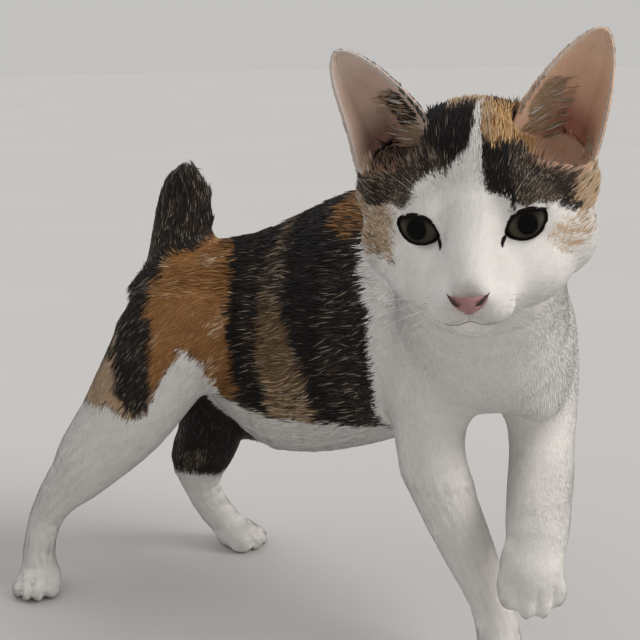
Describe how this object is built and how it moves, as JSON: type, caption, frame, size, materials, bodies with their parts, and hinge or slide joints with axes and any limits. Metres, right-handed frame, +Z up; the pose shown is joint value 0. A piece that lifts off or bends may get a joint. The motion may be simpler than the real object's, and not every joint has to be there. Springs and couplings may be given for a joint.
{
  "type": "american bobtail cat",
  "caption": "Still life-size bobtail cat stepping forward, trunk bent to its right, one front paw raised, short upright tail, large ears.",
  "frame": {"origin": "bottom centre of the bounding box, on the floor that the three planted paws stand on", "axes": "+Z up; the line from the rump to the head runs along -Y, so -Y is the way the cat moves, and +X is to its left"},
  "size_m": [0.259, 0.3594, 0.3276],
  "materials": {
    "coat_head": "short fur, white with black, tabby and orange patches",
    "coat_neck": "short fur, white below and black and orange at the nape",
    "coat_torso": "short fur, black ticked bands and orange patches over a white belly",
    "coat_tail": "thick short fur, brown-black",
    "coat_leg_front_left": "short white fur",
    "coat_leg_front_right": "short white fur",
    "coat_leg_hind_left": "short fur, black thigh and white foot",
    "coat_leg_hind_right": "short fur, orange and black above and white below",
    "ear_skin_left": "thin pink skin with fine fur",
    "ear_skin_right": "thin pink skin with fine fur, dark behind",
    "eye_glass_left": "wet, glossy",
    "eye_glass_right": "wet, glossy"
  },
  "bodies": {
    "root": {"head": "coat_head", "neck": "coat_neck", "torso": "coat_torso", "tail": "coat_tail", "leg_front_left": "coat_leg_front_left", "leg_front_right": "coat_leg_front_right", "leg_hind_left": "coat_leg_hind_left", "leg_hind_right": "coat_leg_hind_right", "ear_left": "ear_skin_left", "ear_right": "ear_skin_right", "eye_left": "eye_glass_left", "eye_right": "eye_glass_right"}
  },
  "joints": []
}
